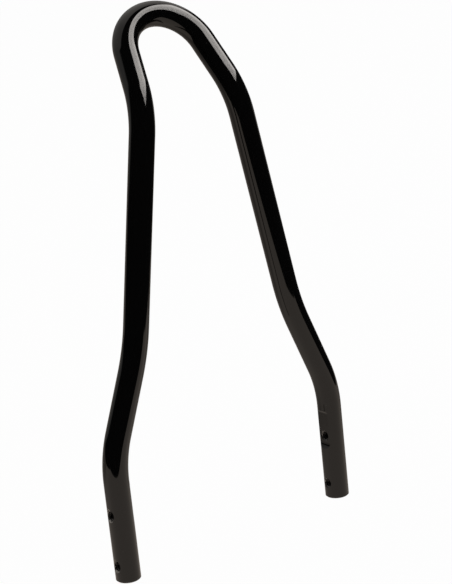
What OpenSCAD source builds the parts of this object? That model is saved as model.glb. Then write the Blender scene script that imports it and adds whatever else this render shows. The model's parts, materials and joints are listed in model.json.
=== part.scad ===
// Sissy bar for the back of a motorcycle seat.
// One solid round bar is bent into a hoop. Its two upright legs are drilled and tapped near their
// cut ends, the hoop narrows above them, and its top is kicked back and closed by a tight loop.
//
// X runs across the machine, Y backwards and Z upwards. The origin is midway between the two legs,
// level with their cut ends, and the hoop lies in the XZ plane up to the kick.

/* [Bar] */
// Diameter of the round bar
bar_d = 19.05; // [16:0.05:24]
// Bevel around the cut end of each leg
end_bevel = 0.7; // [0.2:0.1:2]

/* [Legs] */
// Clear gap between the two upright legs
leg_gap = 187.5; // [160:0.5:230]
// Height at which the legs start to lean inwards
low_bend_h = 94.6; // [85:0.2:105]
// Radius of that bend, at the bar's centre line
low_bend_r = 93; // [60:1:110]

/* [Hoop] */
// Height at which the steep lean eases
high_bend_h = 169.5; // [160:0.5:185]
// Radius of that bend, at the bar's centre line
high_bend_r = 176; // [100:1:200]
// Inward lean of each side above it, in degrees
lean = 10.2; // [7:0.1:13]

/* [Kicked top] */
// Height of the kick, at the bar's centre line
kick_h = 341; // [290:1:400]
// Backward angle of the top, in degrees
kick = 32.7; // [15:0.1:45]
// Radius of the kick's bend, at the bar's centre line
kick_r = 65; // [40:1:75]
// Length of the top from the kick to the middle of the loop, along its slope
top_rise = 73.3; // [68:0.1:100]
// Radius of the closing loop, at the bar's centre line
loop_r = 34.8; // [28:0.1:38]

/* [Bolt holes] */
// Outer diameter of the thread in each hole
thread_d = 7.94; // [5:0.01:10]
// Height of the lower hole in each leg
low_hole_h = 12.8; // [10:0.1:20]
// Distance between the two holes in each leg
hole_pitch = 40; // [32:0.1:45]
// Diameter of the countersink on the outer side of each leg
sink_d = 10.6; // [10.2:0.1:13]
// Bevel around each hole on the inner side
mouth_bevel = 0.5; // [0.2:0.1:0.8]

/* [Milled flats] */
// Depth of the flat on the inner side of each leg
flat_depth = 2.1; // [0.5:0.1:4]
// Reach of the flat above the upper hole
flat_above = 20; // [10:0.5:22]
// Reach of the flat below the upper hole
flat_below = 10.5; // [8:0.5:18]
// Corner radius that the cutter leaves at the ends of the flat
cutter_r = 2; // [0.5:0.1:4]

/* [Hidden] */
$fn = 96;

// A bend draws the bar down by this much all round. The ends of the straights beside it taper
// inside it, so that the two surfaces cross at a slope and the bar comes out as one solid.
draw_down = 0.02;
tip_len = 4;
tip_drop = 0.3;
// How far cutting shapes pass the surface that they cut
clear_cut = 3;

bar_r = bar_d / 2;
leg_x = leg_gap / 2 + bar_r;

// Half widths at the kick and at the upper bend, from the loop down
loop_centre = top_rise - loop_r;
kick_x = (loop_r + loop_centre * sin(lean)) / cos(lean);
high_bend_x = kick_x + (kick_h - high_bend_h) * tan(lean);

// The jog between the two bends joins the legs to the hoop's sides
jog_lean = atan((leg_x - high_bend_x) / (high_bend_h - low_bend_h));

// A side leans inwards, so its own bend at the kick is a little less than the kick of the whole top
side_kick = acos(pow(sin(lean), 2) + pow(cos(lean), 2) * cos(kick));
side_kick_turn = atan2(sin(kick), sin(lean) * (1 - cos(kick)));

// Distance from a bend's corner to the point where its arc starts
function setback(r, angle) = r * tan(angle / 2);
low_setback = setback(low_bend_r, jog_lean);
high_setback = setback(high_bend_r, jog_lean - lean);
kick_setback = setback(kick_r, side_kick);

leg_len = low_bend_h - low_setback;
jog_len = (high_bend_h - low_bend_h) / cos(jog_lean) - low_setback - high_setback;
side_len = (kick_h - high_bend_h) / cos(lean) - high_setback - kick_setback;
neck_len = kick_x * sin(lean) + loop_centre * cos(lean) - kick_setback;

upper_hole_h = low_hole_h + hole_pitch;

// Cut end of a leg, with its bevel. What follows it is placed at its upper end.
module leg_end(length) {
    rotate_extrude()
        polygon([
            [0, 0],
            [bar_r - end_bevel, 0],
            [bar_r, end_bevel],
            [bar_r, length],
            [bar_r - tip_drop, length + tip_len],
            [0, length + tip_len]
        ]);
    translate([0, 0, length])
        children();
}

// Straight stretch along +Z, between two bends. What follows it is placed at its upper end.
module straight(length) {
    rotate_extrude()
        polygon([
            [0, -tip_len],
            [bar_r - tip_drop, -tip_len],
            [bar_r, 0],
            [bar_r, length],
            [bar_r - tip_drop, length + tip_len],
            [0, length + tip_len]
        ]);
    translate([0, 0, length])
        children();
}

// Arc of bar in the XZ plane about the origin, counted from +X towards +Z
module arc(r, from, angle) {
    rotate([90, 0, 0])
        rotate_extrude(start = from, angle = angle)
            translate([r, 0])
                circle(r = bar_r - draw_down);
}

// Bend that starts along +Z and turns towards `turn` degrees from +X. What follows it is placed at
// its end, in a frame that the bend has carried round without a twist.
module bend(r, angle, turn) {
    rotate([0, 0, turn])
        translate([r, 0, 0]) {
            arc(r, 180 - angle, angle);
            rotate([0, angle, 0])
                translate([-r, 0, 0])
                    rotate([0, 0, -turn])
                        children();
        }
}

// Left side of the hoop, from its cut end up to the loop
module side() {
    translate([-leg_x, 0, 0])
        leg_end(leg_len)
        bend(low_bend_r, jog_lean, 0)
        straight(jog_len)
        bend(high_bend_r, jog_lean - lean, 180)
        straight(side_len)
        bend(kick_r, side_kick, side_kick_turn)
        straight(neck_len);
}

// Loop that closes the top, in the kicked plane
module loop() {
    translate([0, 0, kick_h])
        rotate([-kick, 0, 0])
            translate([0, 0, loop_centre])
                arc(loop_r, lean, 180 - 2 * lean);
}

// Cone at 45 degrees that widens to diameter `d` at height 0 and goes on past it
module sink(d) {
    translate([0, 0, -d / 2])
        cylinder(r1 = 0, r2 = d / 2 + clear_cut, h = d / 2 + clear_cut);
}

// One tapped hole through the left leg, whose inner mouth lies `inner_depth` below the bar's surface
module bolt_hole(height, inner_depth) {
    translate([-leg_x, 0, height])
        rotate([0, 90, 0]) {
            cylinder(d = thread_d, h = bar_d + 2 * clear_cut, center = true);
            translate([0, 0, -bar_r])
                mirror([0, 0, 1])
                    sink(sink_d);
            translate([0, 0, bar_r - inner_depth])
                sink(thread_d + 2 * mouth_bevel);
        }
}

// What the cutter takes from the inner side of the left leg, with round corners at both ends
module flat_cut() {
    bottom = upper_hole_h - flat_below;
    top = upper_hole_h + flat_above;
    translate([-leg_x + bar_r - flat_depth, 0, 0]) {
        translate([0, -bar_r, bottom + cutter_r])
            cube([cutter_r + clear_cut, bar_d, top - bottom - 2 * cutter_r]);
        translate([cutter_r, -bar_r, bottom])
            cube([flat_depth + clear_cut, bar_d, top - bottom]);
        for (z = [bottom + cutter_r, top - cutter_r])
            translate([cutter_r, 0, z])
                rotate([90, 0, 0])
                    cylinder(r = cutter_r, h = bar_d, center = true);
    }
}

module leg_cuts() {
    bolt_hole(low_hole_h, 0);
    bolt_hole(upper_hole_h, flat_depth);
    flat_cut();
}

module bent_bar() {
    color("#141414")
        difference() {
            union() {
                side();
                mirror([1, 0, 0])
                    side();
                loop();
            }
            leg_cuts();
            mirror([1, 0, 0])
                leg_cuts();
        }
}

bent_bar();
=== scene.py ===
"""Dresses a bent-bar sissy bar in gloss black paint, cuts its threads and sets it in a studio."""
import json
import math

import bpy
from bpy.props import FloatProperty, FloatVectorProperty, IntProperty, PointerProperty
from mathutils import Matrix, Vector


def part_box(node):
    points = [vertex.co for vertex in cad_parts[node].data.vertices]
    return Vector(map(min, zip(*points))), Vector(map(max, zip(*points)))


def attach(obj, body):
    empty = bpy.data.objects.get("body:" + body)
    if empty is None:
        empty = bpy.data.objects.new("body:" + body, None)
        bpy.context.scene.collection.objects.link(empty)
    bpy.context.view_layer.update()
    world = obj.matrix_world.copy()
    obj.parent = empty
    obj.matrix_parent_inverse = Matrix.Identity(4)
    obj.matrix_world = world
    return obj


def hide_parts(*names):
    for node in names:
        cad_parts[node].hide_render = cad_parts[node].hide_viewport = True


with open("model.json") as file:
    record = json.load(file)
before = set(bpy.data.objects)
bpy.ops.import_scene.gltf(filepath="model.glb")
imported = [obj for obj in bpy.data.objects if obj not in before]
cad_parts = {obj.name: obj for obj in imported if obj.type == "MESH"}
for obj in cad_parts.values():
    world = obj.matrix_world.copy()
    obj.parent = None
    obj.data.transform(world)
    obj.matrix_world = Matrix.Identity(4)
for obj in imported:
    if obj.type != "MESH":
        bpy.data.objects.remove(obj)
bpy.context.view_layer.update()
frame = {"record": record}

bl_info = {
    "name": "Bent Sissy Bar",
    "version": (1, 0, 0),
    "blender": (4, 5, 0),
    "location": "View3D > Sidebar > Sissy Bar",
    "description": "Builds the finish of a bent round-bar sissy bar around its packed model",
    "category": "Object",
}

BODY = "root"
BAR_NODE = "bent_bar"
MM = 0.001

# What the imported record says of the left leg's two holes
LEG_HOLES = next(m for m in frame["record"]["mounts"] if m["name"] == "left_leg_holes")
LEG_X = -LEG_HOLES["pos_m"][0]
HOLES_MID = LEG_HOLES["pos_m"][2]
HOLE_PITCH = LEG_HOLES["dims"]["spacing_y_mm"] * MM
BAR_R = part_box(BAR_NODE)[1].x - LEG_X

# How far cutting shapes pass the surface that they cut
CLEAR_CUT = 3 * MM
# Steps in each round corner of a flat
CORNER_STEPS = 24
# Faces that lie this near to a surface belong to it
CLOSE = 0.05 * MM
# Faces that meet at more than these angles have a sharp edge between them
BAR_CREASE = math.radians(32)
THREAD_CREASE = math.radians(40)
# Places of the two bare steels among the bar's materials; the tapped one is darkened as painted shade in
# the holes
TAPPED_INDEX = 1
BARE_INDEX = 2

# Points in each turn of a thread
THREAD_STEPS = 48
# Share of the pitch that the ridge takes at its base, and the lean of its flanks
RIDGE_SHARE = 7 / 8
FLANK = math.radians(30)
# How deep the ridge's base lies in the wall of the hole
ROOT_DEPTH = 0.02 * MM
# Part of a turn in which the ridge grows at each end, and the share of its size that it starts with
GROW_TURN = 0.4
GROW_START = 0.05
# The ridge stops at least this far, past the bevel, below the round surface of the bar
END_ROOM = 0.5 * MM


class BarSizes(bpy.types.PropertyGroup):
    """Sizes of the bent bar"""

    bar_r: FloatProperty(name="Bar radius", description="Radius of the round bar",
                         default=BAR_R, unit="LENGTH")
    leg_x: FloatProperty(name="Leg offset", description="From the middle to the centre line of a leg",
                         default=LEG_X, unit="LENGTH")
    end_bevel: FloatProperty(name="End bevel", description="Bevel around each cut end",
                             default=0.7 * MM, unit="LENGTH")
    low_bend_h: FloatProperty(name="Lower bend height",
                              description="Where the legs start to lean inwards",
                              default=94.6 * MM, unit="LENGTH")
    low_bend_r: FloatProperty(name="Lower bend radius", description="Radius of that bend",
                              default=93 * MM, unit="LENGTH")
    high_bend_h: FloatProperty(name="Upper bend height", description="Where the steep lean eases",
                               default=169.5 * MM, unit="LENGTH")
    high_bend_r: FloatProperty(name="Upper bend radius", description="Radius of that bend",
                               default=176 * MM, unit="LENGTH")
    lean: FloatProperty(name="Lean", description="Inward lean of each side above the bends",
                        default=math.radians(10.2), subtype="ANGLE")
    kick_h: FloatProperty(name="Kick height", description="Where the top is kicked back",
                          default=341 * MM, unit="LENGTH")
    kick: FloatProperty(name="Kick", description="Backward angle of the top",
                        default=math.radians(32.7), subtype="ANGLE")
    kick_r: FloatProperty(name="Kick radius", description="Radius of the kick's bend",
                          default=65 * MM, unit="LENGTH")
    top_rise: FloatProperty(name="Top rise", description="From the kick to the middle of the loop",
                            default=73.3 * MM, unit="LENGTH")
    loop_r: FloatProperty(name="Loop radius", description="Radius of the closing loop",
                          default=34.8 * MM, unit="LENGTH")
    sides: IntProperty(name="Sides", description="Facets around the bar", default=128, min=24)
    bend_step: FloatProperty(name="Bend step",
                             description="Angle between two rings of the mesh in a bend",
                             default=math.radians(0.9), subtype="ANGLE")


class HoleSizes(bpy.types.PropertyGroup):
    """Sizes of the tapped holes and the milled flats"""

    thread_r: FloatProperty(name="Thread radius", description="Outer radius of the thread",
                            default=LEG_HOLES["dims"]["hole_r_mm"] * MM, unit="LENGTH")
    low_h: FloatProperty(name="Lower hole height", description="Height of the lower hole in each leg",
                         default=HOLES_MID - HOLE_PITCH / 2, unit="LENGTH")
    high_h: FloatProperty(name="Upper hole height", description="Height of the upper hole in each leg",
                          default=HOLES_MID + HOLE_PITCH / 2, unit="LENGTH")
    sink_r: FloatProperty(name="Countersink radius", description="On the outer side of each leg",
                          default=5.3 * MM, unit="LENGTH")
    mouth_bevel: FloatProperty(name="Mouth bevel", description="Around each hole on the inner side",
                               default=0.5 * MM, unit="LENGTH")
    flat_depth: FloatProperty(name="Flat depth",
                              description="Depth of the flat on the inner side of each leg",
                              default=2.1 * MM, unit="LENGTH")
    flat_above: FloatProperty(name="Flat above", description="Reach of the flat above the upper hole",
                              default=21.8 * MM, unit="LENGTH")
    flat_below: FloatProperty(name="Flat below", description="Reach of the flat below the upper hole",
                              default=10.5 * MM, unit="LENGTH")
    cutter_r: FloatProperty(name="Cutter radius",
                            description="Round corner at the upper end of the flat",
                            default=3 * MM, unit="LENGTH")
    runout_r: FloatProperty(name="Run-out radius",
                            description="Round corner at the lower end of the flat",
                            default=8 * MM, unit="LENGTH")
    pitch: FloatProperty(name="Thread pitch", description="Distance between two turns of the thread",
                         default=25.4 * MM / 18, unit="LENGTH")
    ridge_h: FloatProperty(name="Ridge height", description="Height of the thread's ridge",
                           default=0.7 * MM, unit="LENGTH")
    sides: IntProperty(name="Sides", description="Facets around a hole", default=96, min=24)


class Finish(bpy.types.PropertyGroup):
    """Colours and surface of the paint and the bare steel"""

    paint: FloatVectorProperty(name="Paint", description="Colour of the gloss paint", subtype="COLOR",
                               default=(0.0010, 0.0009, 0.0009), size=3, min=0, max=1)
    paint_rough: FloatProperty(name="Paint roughness", description="Roughness of the gloss paint",
                               default=0.05, min=0, max=1, subtype="FACTOR")
    ripple: FloatProperty(name="Ripple", description="Height of the ripple in the paint",
                          default=0.002 * MM, unit="LENGTH", precision=6)
    steel: FloatVectorProperty(name="Steel", description="Colour of the bare countersinks",
                               subtype="COLOR", default=(0.52, 0.50, 0.47), size=3, min=0, max=1)
    # The tapped steel is the bare steel darkened as painted shade inside the holes
    tapped: FloatVectorProperty(name="Tapped steel", description="Colour of the oily tapped walls",
                                subtype="COLOR", default=(0.25, 0.245, 0.24), size=3, min=0, max=1)


class Stage(bpy.types.PropertyGroup):
    """Camera, table and light"""

    azimuth: FloatProperty(name="Azimuth", description="Where the camera stands, counted from the front",
                           default=math.radians(-36.05), subtype="ANGLE")
    elevation: FloatProperty(name="Elevation", description="Camera above the horizon",
                             default=math.radians(14.675), subtype="ANGLE")
    roll: FloatProperty(name="Roll", description="Turn of the camera about its own axis",
                        default=math.radians(-6.097), subtype="ANGLE")
    aim: FloatVectorProperty(name="Aim", description="Point that the camera looks at", subtype="XYZ",
                             unit="LENGTH", default=(0.0136, 0.0, 0.19266), size=3)
    distance: FloatProperty(name="Distance", description="From the camera to that point",
                            default=1.26786, unit="LENGTH")
    lens: FloatProperty(name="Lens", description="Focal length over a sensor 36 mm high",
                        default=103.706)
    table_drop: FloatProperty(name="Table drop",
                              description="Height of the bar's cut ends above the table",
                              default=60 * MM, unit="LENGTH")
    table_front: FloatProperty(name="Table front", description="From the bar to the table's front edge",
                               default=516 * MM, unit="LENGTH")
    front_azimuth: FloatProperty(name="Front azimuth", description="Where the front edge faces",
                                 default=math.radians(-18.3), subtype="ANGLE")
    table_right: FloatProperty(name="Table right", description="From the bar to the table's right edge",
                               default=683 * MM, unit="LENGTH")
    right_azimuth: FloatProperty(name="Right azimuth", description="Where the right edge faces",
                                 default=math.radians(63.1), subtype="ANGLE")
    table_left: FloatProperty(name="Table left", description="From the bar to the table's left edge",
                              default=1100 * MM, unit="LENGTH")
    left_azimuth: FloatProperty(name="Left azimuth", description="Where the left edge faces",
                                default=math.radians(-78), subtype="ANGLE")
    glow: FloatProperty(name="Softbox glow", description="Brightness of the softbox in the gloss",
                        default=7.2)
    box_azimuth: FloatProperty(name="Softbox azimuth", description="Where the softbox hangs",
                               default=math.radians(51.9), subtype="ANGLE")
    box_elevation: FloatProperty(name="Softbox elevation", description="Softbox above the horizon",
                                 default=math.radians(43.3), subtype="ANGLE")
    box_distance: FloatProperty(name="Softbox distance", description="From the top loop to the softbox",
                                default=4.0, unit="LENGTH")
    box_width: FloatProperty(name="Softbox width", description="Longer side of the softbox",
                             default=4.67, unit="LENGTH")
    box_height: FloatProperty(name="Softbox height", description="Shorter side of the softbox",
                              default=2.08, unit="LENGTH")
    box_turn: FloatProperty(name="Softbox turn", description="Turn of the softbox about its own axis",
                            default=math.radians(-3.2), subtype="ANGLE")


def direction(azimuth, elevation):
    """Unit vector towards a place, with azimuth 0 in front and a quarter turn at the bar's right."""
    return Vector((math.sin(azimuth) * math.cos(elevation),
                   -math.cos(azimuth) * math.cos(elevation),
                   math.sin(elevation)))


def link(obj):
    """Puts an object in the scene."""
    bpy.context.scene.collection.objects.link(obj)
    return obj


def new_object(name, verts, edges=(), faces=()):
    """An object in the scene, from lists of its corners, edges and faces."""
    mesh = bpy.data.meshes.new(name)
    mesh.from_pydata([tuple(v) for v in verts], edges, faces)
    mesh.update()
    return link(bpy.data.objects.new(name, mesh))


def bake(obj, name):
    """Replaces an object by a plain mesh of what its modifiers make of it."""
    graph = bpy.context.evaluated_depsgraph_get()
    mesh = bpy.data.meshes.new_from_object(obj.evaluated_get(graph), depsgraph=graph)
    mesh.name = name
    source = obj.data
    bpy.data.objects.remove(obj)
    bpy.data.meshes.remove(source)
    return link(bpy.data.objects.new(name, mesh))


def join(objects, name):
    """One object from several, with all their faces."""
    verts, faces = [], []
    for obj in objects:
        start = len(verts)
        verts += [v.co.copy() for v in obj.data.vertices]
        faces += [[start + k for k in f.vertices] for f in obj.data.polygons]
        bpy.data.objects.remove(obj)
    return new_object(name, verts, faces=faces)


# Nodes

def add(tree, kind, inputs=None, **settings):
    """A node with its settings, whose inputs are values or other nodes' outputs."""
    node = tree.nodes.new(kind)
    for key, value in settings.items():
        setattr(node, key, value)
    for key, value in (inputs or {}).items():
        if isinstance(value, bpy.types.NodeSocket):
            tree.links.new(value, node.inputs[key])
        else:
            node.inputs[key].default_value = value
    return node


def math_node(tree, operation, *values):
    """The result of one operation on values or other nodes' outputs."""
    return add(tree, "ShaderNodeMath", dict(enumerate(values)), operation=operation).outputs["Value"]


def map_range(tree, value, low, high, to_low=0.0, to_high=1.0, **settings):
    """A value brought from one range into another and kept within it."""
    inputs = {"Value": value, "From Min": low, "From Max": high, "To Min": to_low, "To Max": to_high}
    return add(tree, "ShaderNodeMapRange", inputs, **settings).outputs["Result"]


def mix_colour(tree, factor, first, second):
    """The first colour where the factor is 0 and the second where it is 1."""
    inputs = {"Factor": factor, "A": first, "B": second}
    return add(tree, "ShaderNodeMix", inputs, data_type="RGBA").outputs["Result"]


# Geometry Nodes

def geometry_tree(name, sockets):
    """A Geometry Nodes tree with named inputs, given as (name, type)."""
    tree = bpy.data.node_groups.new(name, "GeometryNodeTree")
    tree.interface.new_socket("Geometry", in_out="INPUT", socket_type="NodeSocketGeometry")
    for label, kind in sockets:
        tree.interface.new_socket(label, in_out="INPUT", socket_type="NodeSocket" + kind)
    tree.interface.new_socket("Geometry", in_out="OUTPUT", socket_type="NodeSocketGeometry")
    return tree, tree.nodes.new("NodeGroupInput").outputs


def end_tree(tree, geometry, material):
    """Ends a tree in smooth faces, real geometry and its material."""
    smooth = add(tree, "GeometryNodeSetShadeSmooth", {"Geometry": geometry})
    real = add(tree, "GeometryNodeRealizeInstances", {"Geometry": smooth.outputs["Geometry"]})
    last = add(tree, "GeometryNodeSetMaterial",
               {"Geometry": real.outputs["Geometry"], "Material": material})
    add(tree, "NodeGroupOutput", {"Geometry": last.outputs["Geometry"]})


def apply_tree(obj, tree, name, values):
    """Runs a tree on an object and keeps the result as a plain mesh."""
    modifier = obj.modifiers.new(tree.name, "NODES")
    modifier.node_group = tree
    for item in tree.interface.items_tree:
        if item.in_out == "INPUT" and item.name in values:
            modifier[item.identifier] = values[item.name]
    return bake(obj, name)


def swept_bar_tree():
    """A round section swept along a chain of corners, each with its own bend and girth."""
    name = "Swept Bar"
    if name in bpy.data.node_groups:
        return bpy.data.node_groups[name]
    tree, inputs = geometry_tree(name, [("Radius", "Float"), ("Sides", "Int"), ("Material", "Material")])
    bend = add(tree, "GeometryNodeInputNamedAttribute", {"Name": "bend_radius"}, data_type="FLOAT")
    steps = add(tree, "GeometryNodeInputNamedAttribute", {"Name": "bend_steps"}, data_type="INT")
    girth = add(tree, "GeometryNodeInputNamedAttribute", {"Name": "girth"}, data_type="FLOAT")
    line = add(tree, "GeometryNodeMeshToCurve", {"Mesh": inputs["Geometry"]})
    path = add(tree, "GeometryNodeFilletCurve", {"Curve": line.outputs["Curve"]}, mode="POLY")
    tree.links.new(steps.outputs["Attribute"], path.inputs["Count"])
    tree.links.new(bend.outputs["Attribute"], path.inputs["Radius"])
    ring = add(tree, "GeometryNodeCurvePrimitiveCircle",
               {"Resolution": inputs["Sides"], "Radius": inputs["Radius"]})
    sweep = add(tree, "GeometryNodeCurveToMesh",
                {"Curve": path.outputs["Curve"], "Profile Curve": ring.outputs["Curve"],
                 "Scale": girth.outputs["Attribute"], "Fill Caps": True})
    end_tree(tree, sweep.outputs["Mesh"], inputs["Material"])
    return tree


def sweep_bar(name, corners, radius, sides, material=None, step=math.radians(1)):
    """Sweeps a round bar along corners given as (place, bend radius, girth)."""
    places = [Vector(p) for p, _, _ in corners]
    chain = new_object(name + "_chain", places, edges=[(k, k + 1) for k in range(len(places) - 1)])
    turns = [0.0] * len(places)
    for k in range(1, len(places) - 1):
        turns[k] = (places[k] - places[k - 1]).angle(places[k + 1] - places[k])
    columns = (("bend_radius", "FLOAT", [r for _, r, _ in corners]),
               ("girth", "FLOAT", [g for _, _, g in corners]),
               ("bend_steps", "INT", [max(1, round(t / step)) for t in turns]))
    for label, kind, values in columns:
        chain.data.attributes.new(label, kind, "POINT").data.foreach_set("value", values)
    values = {"Radius": radius, "Sides": sides, "Material": material}
    return apply_tree(chain, swept_bar_tree(), name, values)


def thread_tree():
    """A right-hand ridge that winds through a hole, on the inside of its wall, and is low at both ends."""
    name = "Cut Thread"
    if name in bpy.data.node_groups:
        return bpy.data.node_groups[name]
    tree, inputs = geometry_tree(name, [
        ("Radius", "Float"), ("Length", "Float"), ("Pitch", "Float"), ("Ridge Height", "Float"),
        ("Root Depth", "Float"), ("Ridge Base", "Float"), ("Ridge Crest", "Float"),
        ("Steps", "Int"), ("Place", "Vector"), ("Turn", "Vector"), ("Material", "Material")])
    turns = math_node(tree, "DIVIDE", inputs["Length"], inputs["Pitch"])
    helix = add(tree, "GeometryNodeCurveSpiral",
                {"Resolution": inputs["Steps"], "Rotations": turns, "Start Radius": inputs["Radius"],
                 "End Radius": inputs["Radius"], "Height": inputs["Length"], "Reverse": True})
    upright = add(tree, "GeometryNodeSetCurveNormal", {"Curve": helix.outputs["Curve"]}, mode="Z_UP")
    depth = math_node(tree, "ADD", inputs["Ridge Height"], inputs["Root Depth"])
    ridge = add(tree, "GeometryNodeCurvePrimitiveQuadrilateral",
                {"Height": depth, "Bottom Width": inputs["Ridge Base"],
                 "Top Width": inputs["Ridge Crest"], "Offset": 0.0}, mode="TRAPEZOID")
    middle = math_node(tree, "SUBTRACT", inputs["Root Depth"], math_node(tree, "MULTIPLY", depth, 0.5))
    shift = add(tree, "ShaderNodeCombineXYZ", {"X": middle})
    profile = add(tree, "GeometryNodeTransform",
                  {"Geometry": ridge.outputs["Curve"], "Translation": shift.outputs["Vector"],
                   "Rotation": (0.0, 0.0, math.pi / 2)})
    along = add(tree, "GeometryNodeSplineParameter").outputs["Factor"]
    to_end = math_node(tree, "MINIMUM", along, math_node(tree, "SUBTRACT", 1.0, along))
    growth = map_range(tree, math_node(tree, "MULTIPLY", to_end, turns), 0.0, GROW_TURN, GROW_START)
    sweep = add(tree, "GeometryNodeCurveToMesh",
                {"Curve": upright.outputs["Curve"], "Profile Curve": profile.outputs["Geometry"],
                 "Scale": growth, "Fill Caps": True})
    placed = add(tree, "GeometryNodeTransform",
                 {"Geometry": sweep.outputs["Mesh"], "Translation": inputs["Place"],
                  "Rotation": inputs["Turn"]})
    end_tree(tree, placed.outputs["Geometry"], inputs["Material"])
    return tree


# The bar

def half_widths(bar):
    """Half widths of the hoop at the kick and at the upper bend, worked out from the loop down."""
    loop_centre = bar.top_rise - bar.loop_r
    kick_x = (bar.loop_r + loop_centre * math.sin(bar.lean)) / math.cos(bar.lean)
    high_x = kick_x + (bar.kick_h - bar.high_bend_h) * math.tan(bar.lean)
    return kick_x, high_x


def bar_corners(bar):
    """Corners of the centre line with bend radius and girth, from the left cut end to the right one."""
    kick_x, high_x = half_widths(bar)
    meet = kick_x / math.tan(bar.lean)
    top = (0, meet * math.sin(bar.kick), bar.kick_h + meet * math.cos(bar.kick))
    side = [
        ((-bar.leg_x, 0, 0), 0, 1 - bar.end_bevel / bar.bar_r),
        ((-bar.leg_x, 0, bar.end_bevel), 0, 1),
        ((-bar.leg_x, 0, bar.low_bend_h), bar.low_bend_r, 1),
        ((-high_x, 0, bar.high_bend_h), bar.high_bend_r, 1),
        ((-kick_x, 0, bar.kick_h), bar.kick_r, 1),
    ]
    other = [((-x, y, z), r, g) for (x, y, z), r, g in reversed(side)]
    return side + [(top, bar.loop_r, 1)] + other


def straight_leg(bar):
    """Height at which the straight leg ends and the lower bend starts."""
    _, high_x = half_widths(bar)
    jog = math.atan((bar.leg_x - high_x) / (bar.high_bend_h - bar.low_bend_h))
    return bar.low_bend_h - bar.low_bend_r * math.tan(jog / 2)


def hole_list(holes):
    """Each tapped hole as (side, height, depth of its inner mouth below the bar's surface)."""
    return [(side, height, depth)
            for side in (-1, 1)
            for height, depth in ((holes.low_h, 0.0), (holes.high_h, holes.flat_depth))]


def hole_cutter(bar, holes, side, height, depth):
    """What the drill and the countersink take out of one leg, along X from outside to inside."""
    sunk = holes.sink_r - holes.thread_r
    inner = bar.bar_r - depth
    steps = [(-bar.bar_r - CLEAR_CUT, holes.sink_r + CLEAR_CUT),
             (-bar.bar_r + sunk, holes.thread_r),
             (inner - holes.mouth_bevel, holes.thread_r),
             (inner + CLEAR_CUT, holes.thread_r + holes.mouth_bevel + CLEAR_CUT)]
    corners = [((side * (bar.leg_x - x), 0, height), 0, radius) for x, radius in steps]
    return sweep_bar("drill", corners, 1.0, holes.sides)


def rise(r, depth):
    """Height that an arc of radius r takes to climb out of a cut of some depth."""
    return math.sqrt(2 * r * depth - depth ** 2)


def flat_cutter(bar, holes, side):
    """What the cutter takes off the inner side of one leg, from a long run-out up to a shoulder."""
    depth = holes.flat_depth
    face = bar.leg_x - bar.bar_r + depth
    low = holes.high_h - holes.flat_below + rise(holes.runout_r, depth)
    high = holes.high_h + holes.flat_above - rise(holes.cutter_r, depth)
    outline = [(face - holes.runout_r - CLEAR_CUT, low - holes.runout_r)]
    for r, corner, start in ((holes.runout_r, low, 270), (holes.cutter_r, high, 0)):
        for k in range(CORNER_STEPS + 1):
            turn = math.radians(start + 90 * k / CORNER_STEPS)
            outline.append((face - r + r * math.cos(turn), corner + r * math.sin(turn)))
    outline.append((face - holes.cutter_r - CLEAR_CUT, high + holes.cutter_r))
    count = len(outline)
    half_length = bar.bar_r + CLEAR_CUT
    verts = [(side * x, y, z) for y in (-half_length, half_length) for x, z in outline]
    ring = [(k, count + k, count + (k + 1) % count, (k + 1) % count) for k in range(count)]
    faces = [tuple(range(count)), tuple(reversed(range(count, 2 * count)))] + ring
    return new_object("mill", verts, faces=faces if side > 0 else [tuple(reversed(f)) for f in faces])


def cut(obj, cutter):
    """Takes the cutter's volume out of the object."""
    modifier = obj.modifiers.new("cut", "BOOLEAN")
    modifier.operation = "DIFFERENCE"
    modifier.solver = "EXACT"
    modifier.object = cutter
    result = bake(obj, obj.name)
    bpy.data.objects.remove(cutter)
    return result


def leg_radial(bar, place):
    """Direction from the nearer leg's centre line to a place."""
    return Vector((place.x - math.copysign(bar.leg_x, place.x), place.y, 0))


def shade_exactly(obj, bar):
    """Sharp edges where faces meet steeply, and the true round normals on the straight legs."""
    rounding = 0.01 * MM
    longest_face = 2 * MM
    squarely = 0.995
    mesh = obj.data
    mesh.shade_smooth()
    mesh.set_sharp_from_angle(angle=BAR_CREASE)
    normals = [n.vector.copy() for n in mesh.corner_normals]
    leg_top = straight_leg(bar) + rounding
    for face in mesh.polygons:
        out = leg_radial(bar, face.center)
        if face.center.z > leg_top + longest_face or out.length < bar.bar_r - CLOSE:
            continue
        if face.normal.dot(out.normalized()) < squarely:
            continue
        for corner in face.loop_indices:
            place = mesh.vertices[mesh.loops[corner].vertex_index].co
            if place.z < leg_top:
                normals[corner] = leg_radial(bar, place).normalized()
    mesh.normals_split_custom_set(normals)


def bare_bores(obj, bar, holes, tapped, steel):
    """Gives the walls of the holes the tapped steel, darkened as painted shade inside the holes, and their
    countersinks the brighter one.
    """
    squarely = 0.99
    half_square = math.sqrt(0.5)
    slack = 0.02
    mesh = obj.data
    mesh.materials.append(tapped)
    mesh.materials.append(steel)
    for face in mesh.polygons:
        for side, height, _ in hole_list(holes):
            out = Vector((0, face.center.y, face.center.z - height))
            reach = out.length
            if abs(face.center.x - side * bar.leg_x) > bar.bar_r or reach > holes.sink_r + CLOSE:
                continue
            inwards = -face.normal.dot(out / reach)
            if abs(reach - holes.thread_r) < CLOSE and inwards > squarely:
                face.material_index = TAPPED_INDEX
            elif abs(inwards - half_square) < slack and face.normal.x * side > 0:
                face.material_index = BARE_INDEX


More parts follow.
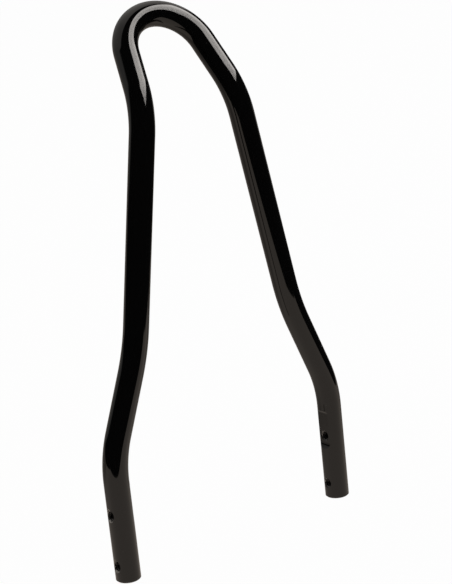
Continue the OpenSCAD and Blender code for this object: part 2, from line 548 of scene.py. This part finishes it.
class SISSY_OT_bar(bpy.types.Operator):
    """Sweep the bent bar, mill its flats and drill its holes"""

    bl_idname = "sissy.bar"
    bl_label = "Bent bar"

    def execute(self, context):
        bar = context.scene.sissy_bar
        holes = context.scene.sissy_holes
        finish = context.scene.sissy_finish
        obj = sweep_bar("painted_bar", bar_corners(bar), bar.bar_r, bar.sides, paint_material(finish),
                        bar.bend_step)
        obj = cut(obj, join([flat_cutter(bar, holes, side) for side in (-1, 1)], "mills"))
        obj = cut(obj, join([hole_cutter(bar, holes, *hole) for hole in hole_list(holes)], "drills"))
        if len(obj.data.polygons) < bar.sides:
            raise RuntimeError("the bar came out empty")
        bare_bores(obj, bar, holes, steel_material("Tapped Steel", finish.tapped),
                   steel_material("Bare Cut Steel", finish.steel))
        shade_exactly(obj, bar)
        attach(obj, BODY)
        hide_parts(BAR_NODE)
        return {"FINISHED"}


class SISSY_OT_threads(bpy.types.Operator):
    """Cut the thread's ridge in each hole"""

    bl_idname = "sissy.threads"
    bl_label = "Threads"

    def execute(self, context):
        bar = context.scene.sissy_bar
        holes = context.scene.sissy_holes
        # The ridges take the tapped steel, darkened as painted shade inside the holes
        steel = steel_material("Tapped Steel", context.scene.sissy_finish.tapped)
        base = holes.pitch * RIDGE_SHARE
        for side, height, depth in hole_list(holes):
            start = -bar.bar_r + holes.sink_r - holes.thread_r
            end = bar.bar_r - max(depth + holes.mouth_bevel, holes.mouth_bevel + END_ROOM)
            end_name = "left" if side < 0 else "right"
            level = "lower" if height == holes.low_h else "upper"
            values = {
                "Radius": holes.thread_r, "Length": end - start, "Pitch": holes.pitch,
                "Ridge Height": holes.ridge_h, "Root Depth": ROOT_DEPTH, "Ridge Base": base,
                "Ridge Crest": base - 2 * holes.ridge_h * math.tan(FLANK),
                "Steps": THREAD_STEPS, "Place": (side * (bar.leg_x - start), 0.0, height),
                "Turn": (0.0, -side * math.pi / 2, 0.0), "Material": steel,
            }
            seed = new_object("thread_seed", [(0, 0, 0)])
            obj = apply_tree(seed, thread_tree(), f"thread_{end_name}_{level}", values)
            obj.data.set_sharp_from_angle(angle=THREAD_CREASE)
            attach(obj, BODY)
        return {"FINISHED"}


# Paint and steel

# The span that most values of a noise lie in
NOISE_LOW = 0.3
NOISE_HIGH = 0.7
# Detail and roughness of the noises in the paint
NOISE_DETAIL = 1.0
NOISE_ROUGHNESS = 0.4
# How far the paint's roughness strays from its mean, as a share
ROUGH_SPREAD = 0.2
# Colour of dust, and its share in the paint's colour where a speck lies
DUST = (0.35, 0.33, 0.30, 1)
DUST_SHARE = 0.04
# Stains on bare steel: how many to a metre, the noise values between which they fade, and their
# brightness as a share of the steel's
STAIN_SCALE = 900.0
STAIN_DETAIL = 3.0
STAIN_FULL = 0.40
STAIN_NONE = 0.62
STAIN_SHARE = 0.2
# Roughness of stained and of clean steel
STAINED_ROUGH = 0.6
CLEAN_ROUGH = 0.35


def shader_group(name, inputs, outputs):
    """A shader group with named inputs given as (name, type, value) and outputs as (name, type)."""
    tree = bpy.data.node_groups.new(name, "ShaderNodeTree")
    for label, kind, value in inputs:
        socket = tree.interface.new_socket(label, in_out="INPUT", socket_type="NodeSocket" + kind)
        if value is not None:
            socket.default_value = value
    for label, kind in outputs:
        tree.interface.new_socket(label, in_out="OUTPUT", socket_type="NodeSocket" + kind)
    return tree, tree.nodes.new("NodeGroupInput").outputs


def place_group(tree, group, inputs):
    """Outputs of a shader group placed in a material with its own values."""
    return add(tree, "ShaderNodeGroup", inputs, node_tree=group).outputs


def clear_nodes(owner):
    """The emptied node tree of a material or a world."""
    owner.use_nodes = True
    owner.node_tree.nodes.clear()
    return owner.node_tree


def paint_noise(tree, vector, size):
    """A soft noise whose waves have about the given size."""
    return add(tree, "ShaderNodeTexNoise",
               {"Vector": vector, "Scale": math_node(tree, "DIVIDE", 1.0, size),
                "Detail": NOISE_DETAIL, "Roughness": NOISE_ROUGHNESS}).outputs["Fac"]


def ripple_group():
    """Long waves and the finer ripple of sprayed and baked paint, as a height."""
    name = "Paint Ripple"
    if name in bpy.data.node_groups:
        return bpy.data.node_groups[name]
    tree, inputs = shader_group(name, [("Vector", "Vector", None), ("Wave Size", "Float", 0.008),
                                       ("Peel Size", "Float", 0.0018), ("Peel Share", "Float", 0.03)],
                                [("Height", "Float")])
    wave = paint_noise(tree, inputs["Vector"], inputs["Wave Size"])
    peel = paint_noise(tree, inputs["Vector"], inputs["Peel Size"])
    height = add(tree, "ShaderNodeMix", {"Factor": inputs["Peel Share"], "A": wave, "B": peel},
                 data_type="FLOAT")
    add(tree, "NodeGroupOutput", {"Height": height.outputs["Result"]})
    return tree


def speck_group():
    """Sparse round specks, such as dust, as a mask."""
    name = "Fine Specks"
    if name in bpy.data.node_groups:
        return bpy.data.node_groups[name]
    tree, inputs = shader_group(name, [("Vector", "Vector", None), ("Spacing", "Float", 0.004),
                                       ("Speck Size", "Float", 0.12), ("Share", "Float", 0.3)],
                                [("Mask", "Float")])
    cell = add(tree, "ShaderNodeTexVoronoi",
               {"Vector": inputs["Vector"], "Scale": math_node(tree, "DIVIDE", 1.0, inputs["Spacing"])},
               feature="F1")
    dice = add(tree, "ShaderNodeSeparateColor", {"Color": cell.outputs["Color"]})
    chosen = math_node(tree, "LESS_THAN", dice.outputs["Red"], inputs["Share"])
    size = math_node(tree, "MULTIPLY", inputs["Speck Size"], dice.outputs["Green"])
    inside = math_node(tree, "LESS_THAN", cell.outputs["Distance"], size)
    add(tree, "NodeGroupOutput", {"Mask": math_node(tree, "MULTIPLY", chosen, inside)})
    return tree


def paint_material(finish):
    """Gloss black powder coat."""
    name = "Gloss Black Paint"
    if name in bpy.data.materials:
        return bpy.data.materials[name]
    material = bpy.data.materials.new(name)
    tree = clear_nodes(material)
    place = add(tree, "ShaderNodeTexCoord").outputs["Object"]
    ripple = place_group(tree, ripple_group(),
                         {"Vector": place, "Wave Size": 0.009, "Peel Size": 0.0016})
    specks = place_group(tree, speck_group(), {"Vector": place, "Spacing": 0.005, "Share": 0.18})
    bump = add(tree, "ShaderNodeBump",
               {"Height": ripple["Height"], "Strength": 1.0, "Distance": finish.ripple})
    colour = mix_colour(tree, math_node(tree, "MULTIPLY", specks["Mask"], DUST_SHARE),
                        (*finish.paint, 1), DUST)
    rough = map_range(tree, ripple["Height"], NOISE_LOW, NOISE_HIGH,
                      finish.paint_rough * (1 - ROUGH_SPREAD), finish.paint_rough * (1 + ROUGH_SPREAD))
    shader = add(tree, "ShaderNodeBsdfPrincipled",
                 {"Base Color": colour, "Roughness": rough, "Normal": bump.outputs["Normal"],
                  "IOR": 1.5})
    add(tree, "ShaderNodeOutputMaterial", {"Surface": shader.outputs["BSDF"]})
    return material


def steel_material(name, steel):
    """Bare steel as a tool left it, stained in places."""
    if name in bpy.data.materials:
        return bpy.data.materials[name]
    material = bpy.data.materials.new(name)
    tree = clear_nodes(material)
    place = add(tree, "ShaderNodeTexCoord").outputs["Object"]
    stain = add(tree, "ShaderNodeTexNoise",
                {"Vector": place, "Scale": STAIN_SCALE, "Detail": STAIN_DETAIL}).outputs["Fac"]
    clean = map_range(tree, stain, STAIN_FULL, STAIN_NONE)
    colour = mix_colour(tree, clean, (*(STAIN_SHARE * c for c in steel), 1), (*steel, 1))
    rough = map_range(tree, stain, NOISE_LOW, NOISE_HIGH, STAINED_ROUGH, CLEAN_ROUGH)
    shader = add(tree, "ShaderNodeBsdfPrincipled",
                 {"Base Color": colour, "Roughness": rough, "Metallic": 1.0})
    add(tree, "ShaderNodeOutputMaterial", {"Surface": shader.outputs["BSDF"]})
    return material


# The stage

# Size of the camera's sensor in millimetres, and the distances between which it sees
SENSOR = 36
CLIP_NEAR = 0.05
CLIP_FAR = 50
# Half the side of the square floor
FLOOR_HALF = 20.0

# What the camera and the diffuse light see of the floor and the world
WHITE = (1, 1, 1, 1)
PALE = (0.8, 0.8, 0.8, 1)
EVEN_GREY = (0.5, 0.5, 0.5, 1)
# Share of the pale floor, and so of the bar's shadow, in the white that the camera sees
SHADOW_SHARE = 0.03

# What the gloss shows: on the floor, which glows to glossy rays, a painted reflection of a lit table,
# bright near the bar and in painted shade farther back, of the floor behind it and of the dark room;
# and in the world, the dark room and the pale wall at its foot, at its top and near the softbox
PAINTED_TABLE_NEAR = (0.64, 0.56, 0.49, 1)
PAINTED_TABLE_FAR = (0.28, 0.245, 0.215, 1)
PAINTED_FLOOR_BEHIND = (0.23, 0.21, 0.19, 1)
DARK_ROOM = (0.015, 0.015, 0.015, 1)
WALL_FOOT = (0.26, 0.25, 0.235, 1)
WALL_TOP = (0.45, 0.43, 0.41, 1)
WALL_LIT = (0.72, 0.68, 0.64, 1)

# Colour of the softbox in the gloss, and brightness of its diffuse light
BOX_COLOUR = (1.0, 0.955, 0.915)
FILL_GLOW = 2.2

BACK = (0, 1, 0)
UP = (0, 0, 1)


def make_camera(stage):
    """The camera of the photograph, worked out from where it stands and what it looks at."""
    back = direction(stage.azimuth, stage.elevation)
    right = Vector(UP).cross(back).normalized()
    axes = Matrix((right, back.cross(right), back)).transposed()
    turn = axes @ Matrix.Rotation(stage.roll, 3, "Z")
    camera = link(bpy.data.objects.new("Camera", bpy.data.cameras.new("Camera")))
    camera.data.lens = stage.lens
    camera.data.sensor_width = SENSOR
    camera.data.clip_start = CLIP_NEAR
    camera.data.clip_end = CLIP_FAR
    place = Vector(stage.aim) + back * stage.distance
    camera.matrix_world = Matrix.Translation(place) @ turn.to_4x4()
    bpy.context.scene.camera = camera


def side_of(tree, vector, towards, low, high):
    """How far a vector reaches towards a direction, from 0 at low to 1 at high."""
    dot = add(tree, "ShaderNodeVectorMath", {0: vector, 1: tuple(towards)}, operation="DOT_PRODUCT")
    return map_range(tree, dot.outputs["Value"], low, high, interpolation_type="SMOOTHSTEP")


def table_mask(tree, place, stage):
    """Masks of the table's top and of what lies inside its left edge."""
    blur = 5 * MM
    inside = [side_of(tree, place, direction(azimuth, 0), reach + blur, reach - blur)
              for azimuth, reach in ((stage.front_azimuth, stage.table_front),
                                     (stage.right_azimuth, stage.table_right),
                                     (stage.left_azimuth, stage.table_left))]
    in_front, in_right, in_left = inside
    on_table = math_node(tree, "MULTIPLY", math_node(tree, "MULTIPLY", in_front, in_right), in_left)
    return on_table, in_left


def floor_material(stage):
    """White to the camera with a trace of shadow, a painted reflection of a lit table in the gloss, plain
    pale to the rest.
    """
    # Way and reach over which the painted table light fades into painted shade towards the back
    dim_way = direction(math.radians(160), 0)
    dim_reach = 0.30
    behind_from, behind_to = 0.4, 0.9
    material = bpy.data.materials.new("White Table")
    tree = clear_nodes(material)
    rays = add(tree, "ShaderNodeLightPath").outputs
    place = add(tree, "ShaderNodeTexCoord").outputs["Object"]
    on_table, in_left = table_mask(tree, place, stage)
    # Painted reflection of a lit table: bright near the bar and in painted shade towards the back
    table = mix_colour(tree, side_of(tree, place, dim_way, 0.0, dim_reach), PAINTED_TABLE_NEAR, PAINTED_TABLE_FAR)
    behind = math_node(tree, "MULTIPLY", side_of(tree, place, BACK, behind_from, behind_to), in_left)
    room = mix_colour(tree, behind, DARK_ROOM, PAINTED_FLOOR_BEHIND)
    shine = mix_colour(tree, on_table, room, table)
    pale = add(tree, "ShaderNodeBsdfDiffuse", {"Color": PALE})
    white = add(tree, "ShaderNodeEmission", {"Color": WHITE, "Strength": 1.0})
    # The floor glows to glossy rays with this painted reflection of table, floor and dark room
    gloss = add(tree, "ShaderNodeEmission", {"Color": shine, "Strength": 1.0})
    seen = add(tree, "ShaderNodeMixShader",
               {0: SHADOW_SHARE, 1: white.outputs["Emission"], 2: pale.outputs["BSDF"]})
    other = add(tree, "ShaderNodeMixShader",
                {0: rays["Is Glossy Ray"], 1: pale.outputs["BSDF"], 2: gloss.outputs["Emission"]})
    both = add(tree, "ShaderNodeMixShader",
               {0: rays["Is Camera Ray"], 1: other.outputs["Shader"], 2: seen.outputs["Shader"]})
    add(tree, "ShaderNodeOutputMaterial", {"Surface": both.outputs["Shader"]})
    return material


def make_floor(stage):
    """The flat floor below the bar, which stands for the table too."""
    corners = ((-1, -1), (1, -1), (1, 1), (-1, 1))
    verts = [(x * FLOOR_HALF, y * FLOOR_HALF, -stage.table_drop) for x, y in corners]
    floor = new_object("floor", verts, faces=[(0, 1, 2, 3)])
    floor.data.materials.append(floor_material(stage))


def make_world():
    """White to the camera, an even grey light, and in the gloss a pale wall behind and a dark room."""
    wall_middle = direction(math.radians(180), math.radians(47))
    wall_rim, wall_inside = 0.565, 0.615
    horizon_blur = 0.07
    top_height = 0.75
    lit_middle = direction(math.radians(110), math.radians(50))
    lit_rim = 0.6
    world = bpy.data.worlds.new("Studio")
    bpy.context.scene.world = world
    tree = clear_nodes(world)
    rays = add(tree, "ShaderNodeLightPath").outputs
    ray = add(tree, "ShaderNodeTexCoord").outputs["Generated"]
    on_wall = math_node(tree, "MULTIPLY", side_of(tree, ray, BACK, 0.0, horizon_blur),
                        side_of(tree, ray, wall_middle, wall_rim, wall_inside))
    upper = mix_colour(tree, side_of(tree, ray, lit_middle, lit_rim, 1.0), WALL_TOP, WALL_LIT)
    wall = mix_colour(tree, side_of(tree, ray, UP, 0.0, top_height), WALL_FOOT, upper)
    gloss = mix_colour(tree, on_wall, DARK_ROOM, wall)
    light = mix_colour(tree, rays["Is Glossy Ray"], EVEN_GREY, gloss)
    colour = mix_colour(tree, rays["Is Camera Ray"], light, WHITE)
    shade = add(tree, "ShaderNodeBackground", {"Color": colour, "Strength": 1.0})
    add(tree, "ShaderNodeOutputWorld", {"Surface": shade.outputs["Background"]})


def softbox(name, place, aim, width, height, radiance, colour):
    """A rectangular lamp that faces a point."""
    data = bpy.data.lights.new(name, "AREA")
    data.shape = "RECTANGLE"
    data.size = width
    data.size_y = height
    data.energy = radiance * math.pi * width * height
    data.color = colour
    lamp = link(bpy.data.objects.new(name, data))
    turn = (place - aim).to_track_quat("Z", "Y").to_matrix().to_4x4()
    lamp.matrix_world = Matrix.Translation(place) @ turn
    lamp.visible_camera = False
    return lamp


class SISSY_OT_stage(bpy.types.Operator):
    """Set up the camera, the white table and the studio light"""

    bl_idname = "sissy.stage"
    bl_label = "Studio"

    def execute(self, context):
        stage = context.scene.sissy_stage
        bar = context.scene.sissy_bar
        make_camera(stage)
        make_floor(stage)
        make_world()
        loop = Vector((0, bar.top_rise * math.sin(bar.kick) / 2, bar.kick_h))
        place = loop + direction(stage.box_azimuth, stage.box_elevation) * stage.box_distance
        gloss = softbox("softbox_gloss", place, loop, stage.box_width, stage.box_height, stage.glow,
                        BOX_COLOUR)
        gloss.matrix_world = gloss.matrix_world @ Matrix.Rotation(stage.box_turn, 4, "Z")
        gloss.visible_diffuse = False
        fill = softbox("softbox_fill", place, loop, stage.box_width, stage.box_height, FILL_GLOW,
                       WHITE[:3])
        fill.visible_glossy = False
        context.scene.view_settings.view_transform = "Standard"
        return {"FINISHED"}


class SISSY_PT_panel(bpy.types.Panel):
    """Lists the sizes, the finish and the steps of the sissy bar"""

    bl_idname = "SISSY_PT_panel"
    bl_label = "Sissy Bar"
    bl_space_type = "VIEW_3D"
    bl_region_type = "UI"
    bl_category = "Sissy Bar"

    def draw(self, context):
        scene = context.scene
        for step in STEPS:
            self.layout.operator(step.bl_idname, text=step.bl_label)
        for group in (scene.sissy_bar, scene.sissy_holes, scene.sissy_finish, scene.sissy_stage):
            box = self.layout.box()
            for name in group.bl_rna.properties.keys():
                if name not in ("rna_type", "name"):
                    box.prop(group, name)


GROUPS = {"sissy_bar": BarSizes, "sissy_holes": HoleSizes, "sissy_finish": Finish, "sissy_stage": Stage}
STEPS = (SISSY_OT_stage, SISSY_OT_bar, SISSY_OT_threads)


def register():
    """Registers the classes and gives each scene its groups of sizes."""
    for cls in (*GROUPS.values(), *STEPS, SISSY_PT_panel):
        bpy.utils.register_class(cls)
    for name, cls in GROUPS.items():
        setattr(bpy.types.Scene, name, PointerProperty(type=cls))


def unregister():
    """Takes back what register did."""
    for name in GROUPS:
        delattr(bpy.types.Scene, name)
    for cls in (SISSY_PT_panel, *reversed(STEPS), *reversed(GROUPS.values())):
        bpy.utils.unregister_class(cls)


def main():
    """Builds the stage, the bar and the threads."""
    register()
    bpy.ops.sissy.stage()
    bpy.ops.sissy.bar()
    bpy.ops.sissy.threads()


if __name__ == "__main__":
    main()
